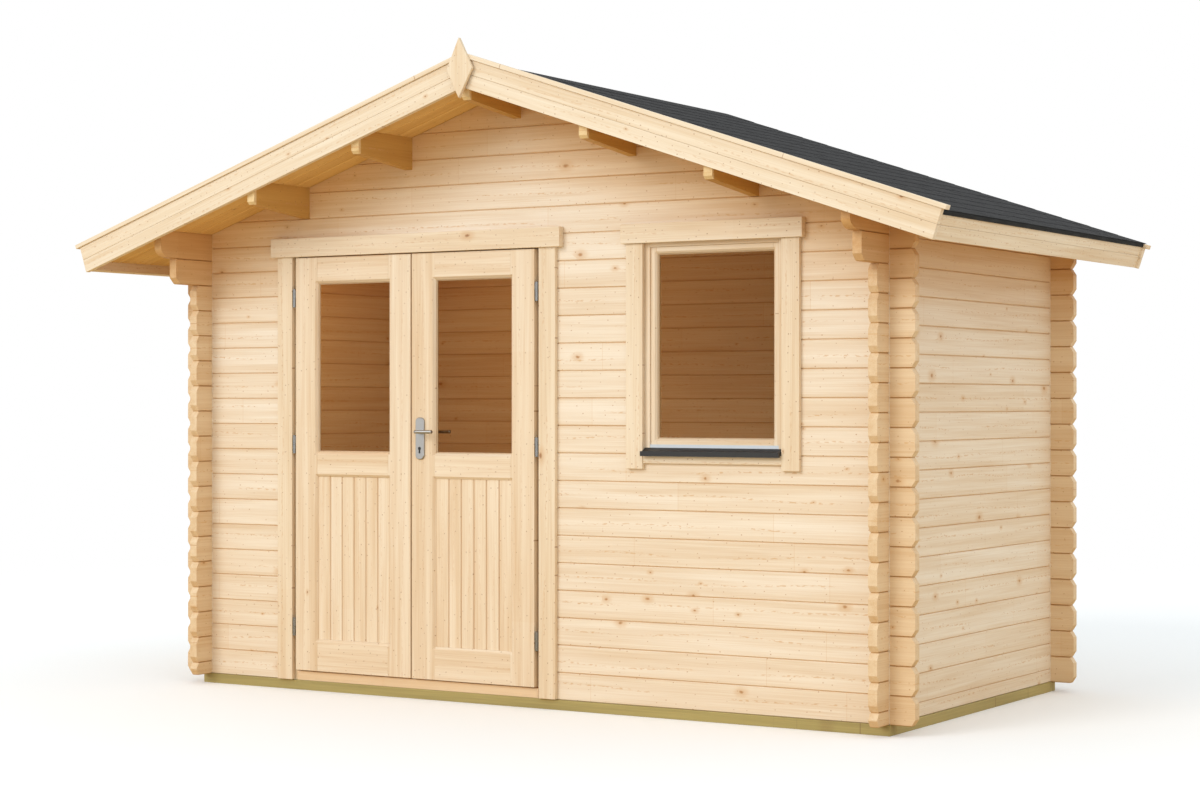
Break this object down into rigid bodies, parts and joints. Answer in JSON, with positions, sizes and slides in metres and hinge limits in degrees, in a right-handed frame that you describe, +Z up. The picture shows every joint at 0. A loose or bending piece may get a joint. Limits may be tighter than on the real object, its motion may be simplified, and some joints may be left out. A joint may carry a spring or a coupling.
{
  "type": "garden shed",
  "caption": "Log-built garden shed with notched corners, a felted gable roof on purlins, a half-glazed double door with a lever handle and a framed window beside it",
  "frame": {"origin": "middle of the outer box on the ground the foundation rests on", "axes": "+X to the right along the front as seen from outside, -Y out of the door, +Z up"},
  "size_m": [4.2534, 2.262, 2.7566],
  "materials": {
    "spruce_wood": "planed pale spruce",
    "rough_wood": "planed boards in shade",
    "treated_wood": "green-brown treated wood",
    "roofing_felt": "matt black roofing felt",
    "satin_steel": "satin silver",
    "dark_sill": "dark grey",
    "drip_strip": "pale anodised",
    "pane_glass": "clear"
  },
  "bodies": {
    "shed": {"back_barge_left": "spruce_wood", "back_barge_right": "spruce_wood", "back_wall": "spruce_wood", "door_casing_left": "spruce_wood", "door_casing_right": "spruce_wood", "door_head": "spruce_wood", "door_header": "spruce_wood", "door_jamb_left": "spruce_wood", "door_jamb_right": "spruce_wood", "door_threshold": "spruce_wood", "eaves_board_left": "spruce_wood", "eaves_board_right": "spruce_wood", "floor_boards": "rough_wood", "foundation_beams": "treated_wood", "front_barge_left": "spruce_wood", "front_barge_right": "spruce_wood", "front_gable": "spruce_wood", "front_wall_below_window": "spruce_wood", "front_wall_left": "spruce_wood", "front_wall_middle": "spruce_wood", "front_wall_right": "spruce_wood", "gable_finial": "spruce_wood", "hinge_pins": "satin_steel", "left_wall": "spruce_wood", "lower_purlin_left": "spruce_wood", "lower_purlin_right": "spruce_wood", "ridge_purlin": "spruce_wood", "right_wall": "spruce_wood", "roof_deck_left": "rough_wood", "roof_deck_right": "rough_wood", "roof_felt_left": "roofing_felt", "roof_felt_right": "roofing_felt", "upper_purlin_left": "spruce_wood", "upper_purlin_right": "spruce_wood", "window_casing": "spruce_wood", "window_drip": "drip_strip", "window_frame": "spruce_wood", "window_glass": "pane_glass", "window_sash": "spruce_wood", "window_sill": "dark_sill"},
    "left_door": {"left_door_frame": "spruce_wood", "left_door_glass": "pane_glass", "left_door_hinges": "satin_steel", "left_door_panel": "spruce_wood"},
    "right_door": {"handle_plates": "satin_steel", "right_door_frame": "spruce_wood", "right_door_glass": "pane_glass", "right_door_hinges": "satin_steel", "right_door_panel": "spruce_wood"},
    "door_handle": {"lever_handle": "satin_steel"}
  },
  "joints": [
    {"name": "left_door_hinge", "type": "hinge", "parent": "shed", "child": "left_door", "pos_m": [-1.1805, -0.717, 1], "axis": [0, 0, -1], "range_deg": [0, 100]},
    {"name": "right_door_hinge", "type": "hinge", "parent": "shed", "child": "right_door", "pos_m": [0.1085, -0.717, 1], "axis": [0, 0, 1], "range_deg": [0, 100]},
    {"name": "lever_turn", "type": "hinge", "parent": "right_door", "child": "door_handle", "pos_m": [-0.486, -0.701, 1.152], "axis": [0, 1, 0], "range_deg": [0, 40]}
  ]
}
